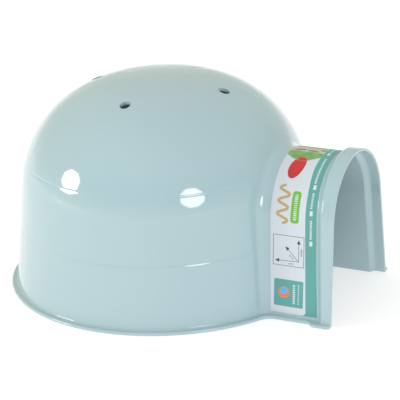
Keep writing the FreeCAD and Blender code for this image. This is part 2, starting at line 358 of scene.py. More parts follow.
# %% Outline of the rim
def plan_normals(points):
    """Outward directions in plan of an open curve that runs from the mouth to the back."""
    d = np.gradient(points[:, :2], axis=0)
    n = np.stack([d[:, 1], -d[:, 0]], 1)
    n = -n if n[-3] @ points[-3, :2] < 0 else n
    n[-1] = (-1, 0)
    return n / np.linalg.norm(n, axis=1)[:, None]


def rim_outline():
    """Plan of the rim's outer edge, one point for each point of the wall's lowest row."""
    half = TUNNEL_HALF + RIM_OUT
    disc = DOME_R + RIM_OUT
    corner = np.array([math.sqrt((disc + CREASE_R) ** 2 - (half + CREASE_R) ** 2), half + CREASE_R])
    corner_az = math.atan2(corner[1], corner[0])
    xs = tunnel_columns(corner[0])
    # the rim steps out before the collar does, so its dense stations are slid back
    xs = xs - np.interp(xs, [100, 114.2, 118.5, 123.5, 127.3, 130], [0, 0, 3.2, 3.6, 0, 0])
    ys = half + COLLAR_STEP * smooth(xs, COLLAR_X - 4.9, COLLAR_X - 0.9)
    tip = np.clip(xs - (MOUTH - RIM_TIP), 0, RIM_TIP)
    ys = ys - (RIM_TIP - np.sqrt(RIM_TIP ** 2 - tip ** 2))
    turns = np.linspace(-math.pi / 2, corner_az - math.pi, CREASE_STEPS + 1)[1:-1]
    bend = corner + CREASE_R * np.stack([np.cos(turns), np.sin(turns)], 1)
    azimuths = dome_columns(corner_az)
    ring = disc * np.stack([np.cos(azimuths), np.sin(azimuths)], 1)
    return np.concatenate([np.stack([xs, ys], 1), bend, ring])


edge = rim_outline()
print("points round half the rim:", len(edge))

# %% [markdown]
# ## One half of the moulding as a grid
#
# Going down the grid leads from the top of the outside down the wall, over the rim,
# under it, round the hem and up the inside. Quarter turns of a few steps round the
# rim's edges and the hem, which a Bevel modifier would do less evenly.

# %% Rows over the rim and round the hem
outer = [skin_row(j, 0.0, True) for j in range(ROWS - 1, -1, -1)]
inner = [skin_row(j, -WALL, False) for j in range(ROWS)]
foot, hem = outer[-1], inner[0]
edge_out = plan_normals(edge)
between_rows = []


def add_level_row(plan, height):
    between_rows.append(np.column_stack([plan, np.full(len(plan), height)]))


wall_out = plan_normals(foot)
fillet = foot[:, :2] + FOOT_R * math.cos(LEAN) * wall_out
for turn in np.linspace(LEAN, math.pi / 2, 6)[1:]:
    add_level_row(fillet - FOOT_R * math.cos(turn) * wall_out, RIM_THICK + FOOT_R * (1 - math.sin(turn)))
for turn in np.linspace(math.pi / 2, 0, 6):
    plan = edge - RIM_EDGE * (1 - math.cos(turn)) * edge_out
    add_level_row(plan, RIM_THICK - RIM_EDGE * (1 - math.sin(turn)))
for turn in np.linspace(0, -math.pi / 2, 6):
    add_level_row(edge - RIM_EDGE * (1 - math.cos(turn)) * edge_out, RIM_EDGE * (1 + math.sin(turn)))
hem_out = plan_normals(hem)
for turn in np.linspace(math.pi / 2, 0, 6):
    plan = hem[:, :2] + math.tan(LEAN) * (hem[:, 2:3] - HEM_R) * hem_out
    add_level_row(plan + HEM_R * (1 - math.cos(turn)) * hem_out, HEM_R * (1 - math.sin(turn)))
GRID = np.array(outer + between_rows + inner)
GRID[:, -1, 1] = 0.0
print("grid:", GRID.shape)


# %% [markdown]
# ## From grids to one mesh
#
# Grids of points are easy to reason about, and welding points that coincide turns
# several of them into one closed surface. The next class gathers grids and welds.

# %% A gatherer of points and faces
class Soup:
    """Points and faces gathered from grids."""

    def __init__(self):
        self.points, self.faces, self.count = [], [], 0

    def add(self, points):
        self.points.append(np.asarray(points, float).reshape(-1, 3))
        first = self.count
        self.count += len(self.points[-1])
        return first

    def grid(self, block, flip=False):
        rows, cols = block.shape[:2]
        first = self.add(block)
        index = first + np.arange(rows * cols).reshape(rows, cols)
        quads = np.stack([index[:-1, :-1], index[:-1, 1:], index[1:, 1:], index[1:, :-1]], -1)
        quads = quads.reshape(-1, 4)
        self.faces += (quads[:, ::-1] if flip else quads).tolist()

    def welded(self, digits=4):
        points = np.concatenate(self.points)
        keys = np.round(points, digits) + 0.0
        _, first, where = np.unique(keys, axis=0, return_index=True, return_inverse=True)
        where = where.reshape(-1)
        faces = []
        for face in self.faces:
            ids = [int(where[i]) for i in face]
            ids = [a for a, b in zip(ids, ids[1:] + ids[:1]) if a != b]
            if len(ids) > 2:
                faces.append(ids)
        return points[first], faces


soup = Soup()
soup.grid(GRID)
print("faces so far:", len(soup.faces))

# %% [markdown]
# ## The mouth's lip
#
# The doorway's end face is flat with a small rounding, as a moulding's edge is. The
# loop of points round the mouth is moved inwards in quarter-turn steps, and the flat
# face between its outside and its inside closes the end.

# %% Close the mouth
loop = GRID[:, 0]
d = np.gradient(loop[:, 1:], axis=0)
inward = np.stack([d[:, 1], -d[:, 0]], 1)
inward /= np.linalg.norm(inward, axis=1)[:, None]
if inward[0, 1] > 0:
    inward = -inward
inward[0], inward[-1] = (0, -1), (0, 1)
lips = [loop]
for turn in np.linspace(0, math.pi / 2, 5)[1:]:
    lip = loop.copy()
    lip[:, 1:] += LIP_R * (1 - math.cos(turn)) * inward
    lip[:, 0] = MOUTH - LIP_R * (1 - math.sin(turn))
    lips.append(lip)
soup.grid(np.stack(lips[::-1], 1))
last = lips[-1]
ends = np.stack([last[ROWS + len(between_rows):][::-1], last[:ROWS]], 1)
soup.grid(ends)
first = soup.add(last[ROWS - 1:ROWS + len(between_rows) + 1])
soup.faces.append([first + i for i in range(len(between_rows) + 2)])
print("faces with the lip:", len(soup.faces))


# %% [markdown]
# ## The crown
#
# Above the tunnel's top the dome is whole, so its rows are plain rings that end at
# the pole. The outside is finer than the inside because it carries the grooves.

# %% Close the crown, outside and inside
def crown_rows(out, alongs, engraved):
    azimuths = dome_columns(0.0)
    rows = []
    for along in alongs:
        r, z, turn = (float(v) for v in profile(along, out))
        depth = np.zeros(len(azimuths))
        if engraved:
            depth = groove_depth(np.full(len(azimuths), along), azimuths, r)
        reach = r - depth * math.cos(turn)
        rows.append(np.stack([reach * np.cos(azimuths), reach * np.sin(azimuths),
                              z - depth * math.sin(turn)], 1))
    return rows


TOP_ALONG = float(along_from_turn(DOME_TURN[-1], 0, 0))
POLE_ALONG = WALL_ALONG + SHOULDER_ALONG + (math.pi / 2 - MEET) * CROWN_R
fine = set(np.linspace(TOP_ALONG + 1.6, POLE_ALONG - 0.5, 44).tolist())
for k in (3, 4):
    fine = {a for a in fine if abs(a - k * COURSE) > 2.2}
    fine |= {k * COURSE + s for s in (-2, -1.4, -1, -0.7, -0.35, 0, 0.35, 0.7, 1, 1.4, 2)}
coarse = np.linspace(TOP_ALONG + 3.5, POLE_ALONG - 1.0, 22)
dome_cols = len(dome_columns(0.0))
for out, alongs, engraved, flip in ((0.0, sorted(fine), True, False), (-WALL, coarse, False, True)):
    base = (GRID[0] if out == 0.0 else GRID[-1])[-dome_cols:]
    pole = np.zeros((dome_cols, 3))
    pole[:, 2] = CROWN_Z + CROWN_R + out
    soup.grid(np.array([base] + crown_rows(out, alongs, engraved) + [pole])[::-1], flip)
print("faces with the crown:", len(soup.faces))

# %% [markdown]
# ## Mirror and weld
#
# The moulding is the same on both sides of the tunnel's upright middle plane. The
# half is mirrored, with its faces turned the other way so that they still point
# outwards, and the seam is welded.

# %% Make the whole moulding
half_points, half_faces = soup.welded()
both = Soup()
both.add(half_points)
both.faces += [face[::-1] for face in half_faces]
shift = both.add(half_points * (1, -1, 1))
both.faces += [[shift + i for i in face] for face in half_faces]
SHELL_POINTS, SHELL_FACES = both.welded()


def make_object(name, points, faces):
    mesh = bpy.data.meshes.new(name)
    moved = (np.asarray(points, float) + (AXIS_X, 0, 0)) * MM
    mesh.from_pydata(moved.tolist(), [], faces)
    mesh.validate()
    mesh.update()
    obj = bpy.data.objects.new(name, mesh)
    bpy.context.scene.collection.objects.link(obj)
    return obj


def volume(mesh):
    """Volume in millilitres of a closed mesh; it comes out positive if faces point outwards."""
    total = 0.0
    mesh.calc_loop_triangles()
    for tri in mesh.loop_triangles:
        a, b, c = (mesh.vertices[i].co for i in tri.vertices)
        total += a.dot(b.cross(c)) / 6
    return total * 1e6


shell = make_object("moulded_shell", SHELL_POINTS, SHELL_FACES)
print("shell:", len(SHELL_POINTS), "points,", round(volume(shell.data), 1), "ml")


# %% [markdown]
# ## Air vents
#
# Four round holes go straight down through the crown, in the middle of every other
# block of the top course. They are crisp holes through a smooth wall, which is what
# a Boolean cut does best, so four drills are made as one mesh and taken away.

# %% Make the drills
vent_ring = float(profile((COURSES - 0.5) * COURSE, 0)[0])
DRILL_SIDES, DRILL_LOW, DRILL_HIGH = 40, 100.0, 140.0
drill_points, drill_faces = [], []
for k in range(VENTS):
    turned = 2 * math.pi * k / VENTS
    cx, cy = vent_ring * math.cos(turned), vent_ring * math.sin(turned)
    base = len(drill_points)
    for z in (DRILL_LOW, DRILL_HIGH):
        for i in range(DRILL_SIDES):
            a = 2 * math.pi * (i + 0.5) / DRILL_SIDES
            drill_points.append((cx + VENT_R * math.cos(a), cy + VENT_R * math.sin(a), z))
    for i in range(DRILL_SIDES):
        j = (i + 1) % DRILL_SIDES
        drill_faces.append([base + i, base + j, base + DRILL_SIDES + j, base + DRILL_SIDES + i])
    drill_faces.append([base + i for i in range(DRILL_SIDES)][::-1])
    drill_faces.append([base + DRILL_SIDES + i for i in range(DRILL_SIDES)])
drills = make_object("vent_drills", drill_points, drill_faces)
print("vents stand", round(vent_ring, 1), "mm from the axis")

# %% [markdown]
# ## Cut them out
#
# The Boolean modifier takes the drills away. Its result is kept as the shell's own
# mesh, because a modifier left in place wouldn't reach the export. Smooth shading
# with sharp edges only at steep corners keeps the holes crisp and the dome round.

# %% Cut the vents
cut = shell.modifiers.new("vents", "BOOLEAN")
cut.operation, cut.object, cut.solver = "DIFFERENCE", drills, "EXACT"
bpy.context.view_layer.update()
cut_mesh = bpy.data.meshes.new_from_object(shell.evaluated_get(bpy.context.evaluated_depsgraph_get()))
shell.modifiers.remove(cut)
shell.data = cut_mesh
bpy.data.objects.remove(drills)
cut_mesh.shade_smooth()
cut_mesh.set_sharp_from_angle(angle=math.radians(35))
print("shell with vents:", len(cut_mesh.vertices), "points,", round(volume(cut_mesh), 1), "ml")


# %% [markdown]
# ## The way up and over the tunnel
#
# The label is paper wrapped over the tunnel, so places on it are easiest to give on
# the flat sheet: `x` runs along the tunnel and `s` up and over it, from the floor on
# one side to the floor on the other. The section is walked in small steps to turn
# `s` into a place. A curve object could be sampled instead; plain arrays are quicker.

# %% Walk along the section
SECTION_STEPS = 60
arch_turns = np.linspace(LEAN, math.pi / 2, SECTION_STEPS)
wall_zs = np.linspace(0, ARCH_Z + ARCH_R * math.sin(LEAN), SECTION_STEPS)[:-1]
half_y = np.concatenate([section_at(wall_zs, 0)[0], ARCH_R * np.cos(arch_turns)])
half_z = np.concatenate([wall_zs, ARCH_Z + ARCH_R * np.sin(arch_turns)])
half_turn = np.concatenate([np.full(len(wall_zs), LEAN), arch_turns])
half_s = np.concatenate([[0], np.cumsum(np.hypot(np.diff(half_y), np.diff(half_z)))])
HALF_SPAN = float(half_s[-1])


def up_the_side(s):
    """Distance from the nearer end of the section, the same on both sides."""
    return np.minimum(s, 2 * HALF_SPAN - s)


def section_place(s):
    """Signed half width, height and outward direction of the section at `s`."""
    side = np.where(s < HALF_SPAN, -1.0, 1.0)
    y, z, turn = (np.interp(up_the_side(s), half_s, values) for values in (half_y, half_z, half_turn))
    return side * y, z, np.stack([np.zeros_like(y), side * np.cos(turn), np.sin(turn)], -1)


print("from the floor to the top of the arch:", round(HALF_SPAN, 2), "mm")


# %% [markdown]
# ## Lay flat points on the tunnel
#
# On the real house the label lies on the tunnel and climbs a little way up the crease
# beside the dome. A Shrinkwrap modifier could press it on. This function finds the
# places exactly, raised off the moulding by a small lift, and serves every printed
# shape as well as the paper.

# %% Lay points
def lay(x, s, lift):
    """Places for flat points (x, s) on the tunnel's outside, as an array of points."""
    x, s = np.broadcast_arrays(np.asarray(x, float), np.asarray(s, float))
    y, z, normal = section_place(s)
    place = np.stack([x, y, z], -1) + lift * normal
    centre = np.stack([x, y, z], -1) + CREASE_R * normal
    ball_radius, dome_turn = dome_at(centre[..., 2], CREASE_R)
    ball_x = np.sqrt(np.maximum(ball_radius ** 2 - centre[..., 1] ** 2, 0))
    az = np.arctan2(centre[..., 1], ball_x)
    level = np.cos(dome_turn)
    radial = np.stack([np.cos(az) * level, np.sin(az) * level, np.sin(dome_turn)], -1)
    between = np.arccos(np.clip((normal * radial).sum(-1), -1, 1))
    reach = CREASE_R - lift
    share = np.clip((ball_x - x) / reach / np.maximum(radial[..., 0], 1e-6), 0, 1)
    angle = np.arcsin(np.clip(share * np.sin(between), 0, 1))
    mixed = np.sin(between - angle)[..., None] * normal + np.sin(angle)[..., None] * radial
    mixed /= np.sin(between)[..., None]
    centre[..., 0] = ball_x
    in_crease = (x < ball_x)[..., None]
    return np.where(in_crease, centre - reach * mixed, place)


print("top of the tunnel, 100 mm from the axis:", lay([100.0], [HALF_SPAN], 0.0)[0].round(2))


# %% [markdown]
# ## The label's edges
#
# The paper stops just short of the collar, and a strip of another colour runs along
# that side. Laid over a leaning, rounded tunnel, its edges bow by up to a few
# millimetres, so each edge is a curve given at a few distances up the side.

# %% Edges of the label
LABEL_X0, PANEL_X1 = 87.8, 111.8
LABEL_LOW = 3.6
LABEL_S0 = LABEL_LOW / math.cos(LEAN)
LABEL_S1 = 2 * HALF_SPAN - LABEL_S0
DOME_BOW = [2.0, 1.1, 0.7, 0.5, 0.3]
STRIP_BOW = [0.3, -0.5, -1.1, -1.4, -2.2]
COLLAR_GAP = 0.12


def dome_edge(s):
    return LABEL_X0 + np.interp(up_the_side(s), CLIMB, DOME_BOW)


def collar_edge(s):
    return collar_foot(up_the_side(s)) - COLLAR_GAP


def strip_edge(s):
    return PANEL_X1 + np.interp(up_the_side(s), CLIMB, STRIP_BOW)


wide = float(collar_edge(HALF_SPAN) - dome_edge(HALF_SPAN))
print("label over the top:", round(wide, 1), "mm wide and", round(LABEL_S1 - LABEL_S0, 1), "long")


# %% [markdown]
# ## The label's paper
#
# The paper is one thin closed skin. A Solidify modifier could thicken a sheet; two
# laid grids and four edges do it here, a touch thinner than the CAD label, so that
# the ink on top stays inside the CAD part's box.

# %% Make the paper
PAPER = 0.14
PAPER_TOP, PAPER_UNDER = PAPER - 0.02, 0.005


def face_outwards(mesh):
    """Turn every face of a closed mesh outwards."""
    work = bmesh.new()
    work.from_mesh(mesh)
    bmesh.ops.recalc_face_normals(work, faces=work.faces)
    work.to_mesh(mesh)
    work.free()


ss = np.linspace(LABEL_S0, LABEL_S1, 190)
share = np.linspace(0, 1, 40)[None, :]
xs = dome_edge(ss)[:, None] * (1 - share) + collar_edge(ss)[:, None] * share
top_side = lay(xs, ss[:, None], PAPER_TOP)
under = lay(xs, ss[:, None], PAPER_UNDER)
paper_soup = Soup()
paper_soup.grid(top_side, True)
paper_soup.grid(under)
for a, b in ((top_side[0], under[0]), (under[-1], top_side[-1]),
             (under[:, 0], top_side[:, 0]), (top_side[:, -1], under[:, -1])):
    paper_soup.grid(np.stack([a, b]), True)
label = make_object("label_paper", *paper_soup.welded(5))
face_outwards(label.data)
label.data.shade_smooth()
label.data.set_sharp_from_angle(angle=math.radians(40))
print("paper:", round(volume(label.data), 3), "ml")


# %% [markdown]
# ## Outlines of printed shapes
#
# The label's print is flat areas of ink. Each is drawn as an outline on the flat
# sheet. Text or image textures could carry a print, but closed shapes need no image
# and export cleanly. Three kinds of outline do for nearly everything here.

# %% Outlines
def box_outline(x0, x1, s0, s1, corner, steps=6):
    outline = []
    for cx, cs, first in ((x1 - corner, s0 + corner, -90), (x1 - corner, s1 - corner, 0),
                          (x0 + corner, s1 - corner, 90), (x0 + corner, s0 + corner, 180)):
        for k in range(steps + 1):
            a = math.radians(first + 90 * k / steps)
            outline.append((cx + corner * math.cos(a), cs + corner * math.sin(a)))
    return outline


def oval_outline(x, s, rx, rs, tilt=0.0, steps=40):
    outline = []
    for k in range(steps):
        a = 2 * math.pi * k / steps
        u, v = rx * math.cos(a), rs * math.sin(a)
        across = x + u * math.cos(tilt) - v * math.sin(tilt)
        outline.append((across, s + u * math.sin(tilt) + v * math.cos(tilt)))
    return outline


def stroke_outline(points, width):
    """A band of even width along a flat path."""
    p = np.array(points, float)
    d = np.gradient(p, axis=0)
    n = np.stack([-d[:, 1], d[:, 0]], 1) / np.linalg.norm(d, axis=1)[:, None] * width / 2
    return [tuple(v) for v in np.concatenate([p + n, (p - n)[::-1]])]


print("points in a rounded box's outline:", len(box_outline(0, 2, 0, 1, 0.2)))


# %% [markdown]
# ## Cut shapes so that they can bend
#
# Ink lies on a rounded tunnel, so a printed shape has to bend with it. One large flat
# face can't. Slicing the shape both ways into small cells gives it points to bend at,
# and only as many as it needs.

# %% Slice an outline
INK_LOW, INK_HIGH = PAPER - 0.03, PAPER
CELL = 1.6


def sliced(outline):
    """A flat outline filled and cut into triangles no wider than a cell."""
    flat = bmesh.new()
    flat.faces.new([flat.verts.new((x, s, 0)) for x, s in outline])
    across, along = zip(*outline)
    for low, high, axis in ((min(across), max(across), (1, 0, 0)), (min(along), max(along), (0, 1, 0))):
        for k in range(math.ceil(low / CELL), math.ceil(high / CELL)):
            place = tuple(k * CELL * a for a in axis)
            parts = flat.verts[:] + flat.edges[:] + flat.faces[:]
            bmesh.ops.bisect_plane(flat, geom=parts, dist=1e-5, plane_co=place, plane_no=axis)
    bmesh.ops.triangulate(flat, faces=flat.faces)
    bmesh.ops.recalc_face_normals(flat, faces=flat.faces)
    flat.verts.index_update()
    return flat


patch = sliced([(0, 0), (4, 0), (4, 4), (0, 4)])
print("triangles in a square of 4 mm:", len(patch.faces))
patch.free()


# %% [markdown]
# ## Ink with a hair's thickness
#
# The cut shape is laid on the paper twice, at the ink's top and a little inside the
# paper, and closed round its edge. Solid ink never flickers against the paper, as a
# sheet in the same place would.

# %% Print an outline
def printed(name, outlines, lift=0.0):
    """One piece of ink made of flat outlines; `lift` lets one ink lie on another."""
    points, faces = [], []
    for outline in outlines:
        flat = sliced(outline)
        count, base = len(flat.verts), len(points)
        xy = np.array([v.co[:2] for v in flat.verts])
        for height in (INK_HIGH + lift, INK_LOW):
            points += lay(xy[:, 0], xy[:, 1], height).tolist()
        for face in flat.faces:
            ids = [base + v.index for v in face.verts]
            faces += [ids, [i + count for i in ids[::-1]]]
        for e in flat.edges:
            if e.is_boundary:
                a, b = (base + v.index for v in e.verts)
                faces.append([a, b, b + count, a + count])
        flat.free()
    obj = make_object(name, points, faces)
    face_outwards(obj.data)
    return obj


print("ink stands", round(INK_HIGH - PAPER_TOP, 3), "mm over the paper")

# %% [markdown]
# ## Edge strip, square and discs
#
# A coloured strip follows the collar side of the label. Its inner edge ends low down
# in a quarter circle. A square with two overlapping discs sits near the floor on the
# side that faces the camera. The discs are lifted a few microns one over the other.

# %% Print the strip, the square and the discs
STRIP_CORNER = 2.4
corner = [(PANEL_X1 - 2.1 + STRIP_CORNER * math.cos(a), LABEL_S0 + STRIP_CORNER + STRIP_CORNER * math.sin(a))
          for a in np.linspace(0, -math.pi / 2, 9)]
climb = [float(v) for v in np.linspace(LABEL_S0 + 3.0, LABEL_S1 - 0.01, 90)]
strip_outline = [(float(collar_edge(v)), v) for v in [LABEL_S0] + climb]
strip_outline += [(float(strip_edge(v)), v) for v in climb[::-1]] + corner
strip = printed("label_teal_strip", [strip_outline])
square = printed("label_teal_square", [box_outline(91.6, 110.3, 7.8, 24.4, 0.8)])
disc_low = printed("label_disc_warm", [oval_outline(97.9, 16.3, 3.5, 3.5)], lift=0.004)
disc_top = printed("label_disc_blue", [oval_outline(97.9, 17.3, 2.3, 2.3)], lift=0.008)
print("faces of the strip:", len(strip.data.polygons), "and of the square:", len(square.data.polygons))

# %% [markdown]
# ## The size drawing
#
# A fine line drawing shows the house's three sizes as arrows from one corner, with
# small ticks beside two of them in place of figures. Strokes of even width are drawn
# along straight paths, and each arrowhead is a triangle.

# %% Print the size drawing
LINE, TICK = 0.28, 0.34
DRAWN_X, DRAWN_S = (90.7, 110.2), (32.9, 51.3)
ARROWS_FROM = (107.0, 36.2)
ARROW_TIPS = ((91.9, 35.7), (106.9, 49.5), (98.4, 44.7))
HEAD_LONG, HEAD_HALF = 2.6, 1.15
drawing = [stroke_outline([(DRAWN_X[0], s), (DRAWN_X[1], s)], LINE) for s in DRAWN_S]
drawing += [stroke_outline([(x, DRAWN_S[0]), (x, DRAWN_S[1])], LINE) for x in DRAWN_X]
for tip in ARROW_TIPS:
    d = np.array(tip) - ARROWS_FROM
    d = d / np.linalg.norm(d)
    side = np.array([-d[1], d[0]])
    root = np.array(tip) - HEAD_LONG * d
    drawing.append(stroke_outline([ARROWS_FROM, tuple(root)], LINE))
    drawing.append([tip, tuple(root + HEAD_HALF * side), tuple(root - HEAD_HALF * side)])
    away = side if side[1] < 0 else -side
    for k in range(4 if tip != ARROW_TIPS[1] else 0):
        tick = np.array(ARROWS_FROM) + d * (3.4 + 0.95 * k) + away * 1.2
        drawing.append(stroke_outline([tuple(tick), tuple(tick + away * (0.75 + 0.25 * (k % 2)))], TICK))
ink = printed("label_size_drawing", drawing)
print("strokes in the size drawing:", len(drawing))

# %% [markdown]
# ## Gold wave, green bar and red badge
#
# Higher up the side come a wavy gold line, a green bar with rounded ends and a tilted
# red oval. A sine, the rounded box and the oval outline draw them.

# %% Print the wave, the bar and the badge
WAVE_X, WAVE_SWING, WAVE_S, WAVE_LONG, WAVE_TURNS = 95.9, 3.3, 58.5, 23.0, 3
wave = [(WAVE_X + WAVE_SWING * math.sin(2 * math.pi * t * WAVE_TURNS), WAVE_S + WAVE_LONG * t)
        for t in np.linspace(0, 1, 60)]
gold = printed("label_gold_wave", [stroke_outline(wave, 1.6)])
green_bar = printed("label_green_bar", [box_outline(101.2, 106.5, 59.3, 78.3, 1.6)])
badge = printed("label_red_badge", [oval_outline(98.4, 94.5, 4.6, 8.8, math.radians(-8))], lift=0.006)
print("faces of the gold wave:", len(gold.data.polygons))


# %% [markdown]
# ## The landscape over the top
#
# The top of the label shows a soft landscape: a meadow, a pale sky and another
# meadow beyond, with patches of bare soil. Each band lies between two bowed edges
# that it shares with its neighbours, so no paper shows between them.

# %% Print the landscape
BAND_X0, BAND_X1 = LABEL_X0 + 0.35, PANEL_X1 - 2.2


def bowed_edge(s_mid, height, steps=30):
    """Edge of a band across the label, bowed towards smaller `s` by a height."""
    return [(BAND_X0 + (BAND_X1 - BAND_X0) * t, s_mid - height * math.sin(math.pi * t))
            for t in np.linspace(0, 1, steps)]


hill, skyline, far_line = bowed_edge(104.6, 5.0), bowed_edge(109.2, -0.8), bowed_edge(119.0, 1.0)
far_end = bowed_edge(124.0, -4.0)
field = printed("label_meadow", [hill + skyline[::-1]], lift=0.002)
sky = printed("label_sky", [skyline + far_line[::-1]], lift=0.002)
soil = printed("label_brown_patches", [oval_outline(93.5, 112.4, 3.6, 1.6, 0.3),
                                       oval_outline(102.0, 111.8, 4.2, 1.3, -0.2),
                                       oval_outline(108.0, 114.4, 2.4, 1.5, 0.1)], lift=0.006)
far_field = printed("label_far_meadow", [far_line + far_end[::-1]], lift=0.002)
print("faces of the landscape:", sum(len(piece.data.polygons) for piece in (field, sky, soil, far_field)))


# %% [markdown]
# ## A path for small printed marks
#
# Rows of small marks stand where the real label has fine print, and they repeat along
# it. Geometry Nodes can bend a straight row over the tunnel if it has the section as
# a curve to sample, so the section is made into one.

# %% The path over the tunnel
one_side = np.column_stack([half_y, half_z])
path_points = np.concatenate([one_side * (-1, 1), one_side[::-1][1:]])
path = bpy.data.curves.new("section_path", "CURVE")
path.dimensions = "3D"
line = path.splines.new("POLY")
line.points.add(len(path_points) - 1)
for point, (y, z) in zip(line.points, path_points):
    point.co = (0.0, y * MM, z * MM, 1.0)
path_object = bpy.data.objects.new("section_path", path)
bpy.context.scene.collection.objects.link(path_object)
path_object.hide_render = True
print("path points:", len(path_points))

# %% [markdown]
# ## The tree's inputs
#
# One node tree makes every row of marks, so all that differs from row to row is a
# named input: where the row starts, how many marks it has, how far apart they stand,
# how large they are and what ink prints them. Lengths are in metres.

# %% Inputs of the tree for a run of marks
MARKS = bpy.data.node_groups.new("run_of_marks", "GeometryNodeTree")
for name, kind, value in (("Path", "Object", None), ("Count", "Int", 8), ("Across", "Float", 0.1),
                          ("First", "Float", 0.05), ("Pitch", "Float", 0.002), ("Width", "Float", 0.001),
                          ("Shortest", "Float", 0.0005), ("Longest", "Float", 0.001),
                          ("Lift", "Float", 0.0001), ("Thickness", "Float", 0.00003), ("Seed", "Int", 1),
                          ("Material", "Material", None)):
    socket = MARKS.interface.new_socket(name, in_out="INPUT", socket_type="NodeSocket" + kind)
    if value is not None:
        socket.default_value = value
MARKS.interface.new_socket("Geometry", in_out="OUTPUT", socket_type="NodeSocketGeometry")
print("inputs:", len([item for item in MARKS.interface.items_tree if item.in_out == "INPUT"]))


# %% [markdown]
# ## Helpers for adding nodes
#
# Adding a node and wiring it takes a line or two each time. A helper that sets a
# node's options and joins its inputs in one call keeps the tree readable.

# %% Add a node and join it
def add_node(tree, kind, joined=(), **settings):
    """A new node with options set, and inputs joined or given a value by name or place."""
    made = tree.nodes.new(kind)
    for key, value in settings.items():
        setattr(made, key, value)
    for socket, value in joined:
        if isinstance(value, bpy.types.NodeSocket):
            tree.links.new(value, made.inputs[socket])
        else:
            made.inputs[socket].default_value = value
    return made


given = add_node(MARKS, "NodeGroupInput").outputs
print("values that the tree is given:", [socket.name for socket in given if socket.name])

# %% [markdown]
# ## A row of small boxes
#
# Points stand one pitch apart, and each gets a small box whose length is drawn at
# random from a fixed seed, as words differ in length. The boxes are cut across so
# that they can bend. They are turned into real geometry before they are bent.

# %% Boxes on points
index = add_node(MARKS, "GeometryNodeInputIndex").outputs[0]
steps_on = add_node(MARKS, "ShaderNodeMath", [(0, index), (1, given["Pitch"])], operation="MULTIPLY")
along = add_node(MARKS, "ShaderNodeMath", [(0, given["First"]), (1, steps_on.outputs[0])], operation="ADD")
where = add_node(MARKS, "ShaderNodeCombineXYZ", [(0, given["Across"]), (1, along.outputs[0])])
points = add_node(MARKS, "GeometryNodePoints", [("Count", given["Count"]), ("Position", where.outputs[0])])
length = add_node(MARKS, "FunctionNodeRandomValue", [(2, given["Shortest"]), (3, given["Longest"]),
                                                    ("Seed", given["Seed"])], data_type="FLOAT")
size = add_node(MARKS, "ShaderNodeCombineXYZ", [(0, given["Width"]), (1, length.outputs[1]), (2, 1.0)])
block = add_node(MARKS, "GeometryNodeMeshCube", [("Size", (1, 1, 1)), ("Vertices Y", 4)])
placed = add_node(MARKS, "GeometryNodeInstanceOnPoints", [
    ("Points", points.outputs[0]), ("Instance", block.outputs["Mesh"]), ("Scale", size.outputs[0])])
real = add_node(MARKS, "GeometryNodeRealizeInstances", [(0, placed.outputs[0])])
print("nodes so far:", len(MARKS.nodes))

# %% [markdown]
# ## Bend the row over the tunnel
#
# Each point of the boxes looks up the path at its own flat distance, and moves there:
# outwards by its height, and along the tunnel by its flat `x`. A Curve modifier bends
# too, but here each step of the move can be seen and changed. The ink is set last.

# %% Bending and ink
here = add_node(MARKS, "GeometryNodeInputPosition").outputs[0]
flat = add_node(MARKS, "ShaderNodeSeparateXYZ", [(0, here)]).outputs
info = add_node(MARKS, "GeometryNodeObjectInfo", [("Object", given["Path"])])
sample = add_node(MARKS, "GeometryNodeSampleCurve", mode="LENGTH")
MARKS.links.new(info.outputs["Geometry"], sample.inputs["Curves"])
MARKS.links.new(flat["Y"], sample.inputs["Length"])
outward = add_node(MARKS, "ShaderNodeVectorMath", [(0, (1, 0, 0)), (1, sample.outputs["Tangent"])],
                   operation="CROSS_PRODUCT")
thick = add_node(MARKS, "ShaderNodeMath", [(0, flat["Z"]), (1, given["Thickness"])], operation="MULTIPLY")
height = add_node(MARKS, "ShaderNodeMath", [(0, given["Lift"]), (1, thick.outputs[0])], operation="ADD")
raised = add_node(MARKS, "ShaderNodeVectorMath", [(0, outward.outputs[0]), ("Scale", height.outputs[0])],
                  operation="SCALE")
across = add_node(MARKS, "ShaderNodeCombineXYZ", [(0, flat["X"])])
on_path = add_node(MARKS, "ShaderNodeVectorMath", [(0, sample.outputs["Position"]), (1, across.outputs[0])],
                   operation="ADD")
moved = add_node(MARKS, "ShaderNodeVectorMath", [(0, on_path.outputs[0]), (1, raised.outputs[0])],
                 operation="ADD")
bent = add_node(MARKS, "GeometryNodeSetPosition", [("Geometry", real.outputs[0]),
                                                   ("Position", moved.outputs[0])])
painted = add_node(MARKS, "GeometryNodeSetMaterial", [("Geometry", bent.outputs[0]),
                                                     ("Material", given["Material"])])
add_node(MARKS, "NodeGroupOutput", [(0, painted.outputs[0])])
print("tree nodes:", len(MARKS.nodes))


# %% [markdown]
# ## A finish made of nodes
#
# Real plastic and printed paper are never perfectly even. Each finish has a base
# colour that drifts a little from place to place, a gloss that does the same, and a
# very fine ripple in its surface. Nodes were chosen over painted images because they
# need no unwrapping and stay sharp at any size.

# %% Build a finish
GRAIN, RIPPLE = 900.0, 0.0002
GLOSS_DRIFT = 0.15


def linear(rgb):
    """Screen colour from 0 to 255 as the linear values that a shader takes."""
    return [((c / 255 + 0.055) / 1.055) ** 2.4 if c > 10 else c / 255 / 12.92 for c in rgb]


def drifting_colour(tree, cloud, rgb, drift):
    tint = add_node(tree, "ShaderNodeValToRGB", [(0, cloud)])
    for element, position, change in zip(tint.color_ramp.elements, (0.3, 0.7), (1 - drift, 1 + drift)):
        element.position = position
        element.color = [min(c * change, 1) for c in linear(rgb)] + [1]
    return tint.outputs[0]


